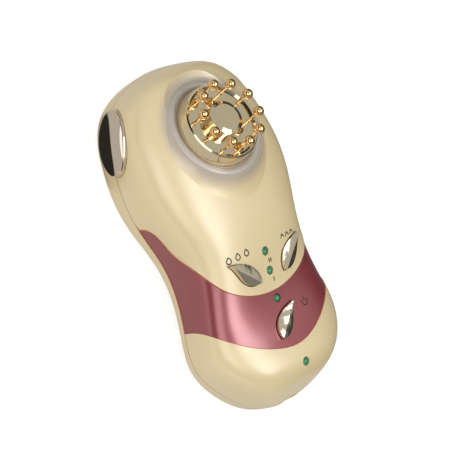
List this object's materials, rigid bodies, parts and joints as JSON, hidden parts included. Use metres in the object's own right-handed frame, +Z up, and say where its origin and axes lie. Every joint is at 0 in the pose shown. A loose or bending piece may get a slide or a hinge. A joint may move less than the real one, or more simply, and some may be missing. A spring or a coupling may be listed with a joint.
{
  "type": "facial toning device",
  "caption": "Palm-sized facial toning device: rounded body with an inlaid waist band, leaf-shaped keys, side contact plates and a tilted massage head with ball pins.",
  "frame": {"origin": "on the flat underside, below the middle of the body", "axes": "+Y along the body towards the massage head, +X to the right, +Z up out of the face with the keys"},
  "size_m": [0.0692, 0.1281, 0.048],
  "materials": {
    "gold_plated": "polished gold plating on brass",
    "mirror_chrome": "polished mirror plating",
    "chromed_plastic": "bright plated keys",
    "pearl_plastic": "champagne pearl, glossy",
    "burgundy_plastic": "burgundy metallic, glossy",
    "gasket_pearl": "soft pearl grey, satin",
    "black_plastic": "moulded black plastic",
    "cream_plastic": "moulded cream plastic",
    "plated_steel": "nickel plated",
    "lamp_green": "tinted translucent green",
    "board_green": "green solder resist",
    "ferrite_grey": "dull ferrite grey",
    "capacitor_sleeve": "dark blue sleeve",
    "cell_wrap": "teal wrap",
    "clear_wrap": "blue shrink wrap",
    "wire_red": "soft insulation, red",
    "wire_black": "soft insulation, black"
  },
  "bodies": {
    "casing": {"ball_pin_01": "gold_plated", "ball_pin_02": "gold_plated", "ball_pin_03": "gold_plated", "ball_pin_04": "gold_plated", "ball_pin_05": "gold_plated", "ball_pin_06": "gold_plated", "ball_pin_07": "gold_plated", "ball_pin_08": "gold_plated", "ball_pin_09": "gold_plated", "ball_pin_10": "gold_plated", "battery_cell_left": "cell_wrap", "battery_cell_right": "cell_wrap", "battery_connector": "black_plastic", "battery_lead_left": "wire_red", "battery_lead_right": "wire_red", "battery_sleeve": "clear_wrap", "battery_tabs": "plated_steel", "board_screws": "plated_steel", "capacitors": "capacitor_sleeve", "casing_screws": "plated_steel", "centre_boss": "mirror_chrome", "charging_jack": "black_plastic", "circuit_board": "board_green", "controller_chip": "black_plastic", "head_bush": "black_plastic", "head_disc": "mirror_chrome", "head_gasket": "gasket_pearl", "head_lead": "wire_black", "head_nut": "plated_steel", "head_tag": "plated_steel", "head_washer": "plated_steel", "lamp_charge": "lamp_green", "lamp_high": "lamp_green", "lamp_medium": "lamp_green", "lamp_power": "lamp_green", "left_mode_switch": "black_plastic", "lower_shell": "pearl_plastic", "power_switch": "black_plastic", "right_mode_switch": "black_plastic", "side_lead_left": "wire_black", "side_lead_right": "wire_black", "side_nut_left": "plated_steel", "side_nut_right": "plated_steel", "side_plate_left": "mirror_chrome", "side_plate_right": "mirror_chrome", "side_terminal_left": "plated_steel", "side_terminal_right": "plated_steel", "step_up_transformer": "ferrite_grey", "upper_shell": "pearl_plastic", "waist_band": "burgundy_plastic"},
    "left_mode_key": {"left_mode_key": "chromed_plastic"},
    "left_mode_plunger": {"left_mode_plunger": "cream_plastic"},
    "right_mode_key": {"right_mode_key": "chromed_plastic"},
    "right_mode_plunger": {"right_mode_plunger": "cream_plastic"},
    "power_key": {"power_key": "chromed_plastic"},
    "power_plunger": {"power_plunger": "cream_plastic"}
  },
  "joints": [
    {"name": "left_mode_press", "type": "slide", "parent": "casing", "child": "left_mode_key", "axis": [0, 0, -1], "range_m": [0, 0.0004], "stiffness_N_per_m": 1500},
    {"name": "left_mode_plunger_press", "type": "slide", "parent": "casing", "child": "left_mode_plunger", "axis": [0, 0, -1], "range_m": [0, 0.0004]},
    {"name": "right_mode_press", "type": "slide", "parent": "casing", "child": "right_mode_key", "axis": [0, 0, -1], "range_m": [0, 0.0004], "stiffness_N_per_m": 1500},
    {"name": "right_mode_plunger_press", "type": "slide", "parent": "casing", "child": "right_mode_plunger", "axis": [0, 0, -1], "range_m": [0, 0.0004]},
    {"name": "power_press", "type": "slide", "parent": "casing", "child": "power_key", "axis": [0, 0, -1], "range_m": [0, 0.0004], "stiffness_N_per_m": 1500},
    {"name": "power_plunger_press", "type": "slide", "parent": "casing", "child": "power_plunger", "axis": [0, 0, -1], "range_m": [0, 0.0004]}
  ],
  "couplings": [
    {"joint": "left_mode_plunger_press", "follows": "left_mode_press", "ratio": 1},
    {"joint": "right_mode_plunger_press", "follows": "right_mode_press", "ratio": 1},
    {"joint": "power_plunger_press", "follows": "power_press", "ratio": 1}
  ]
}
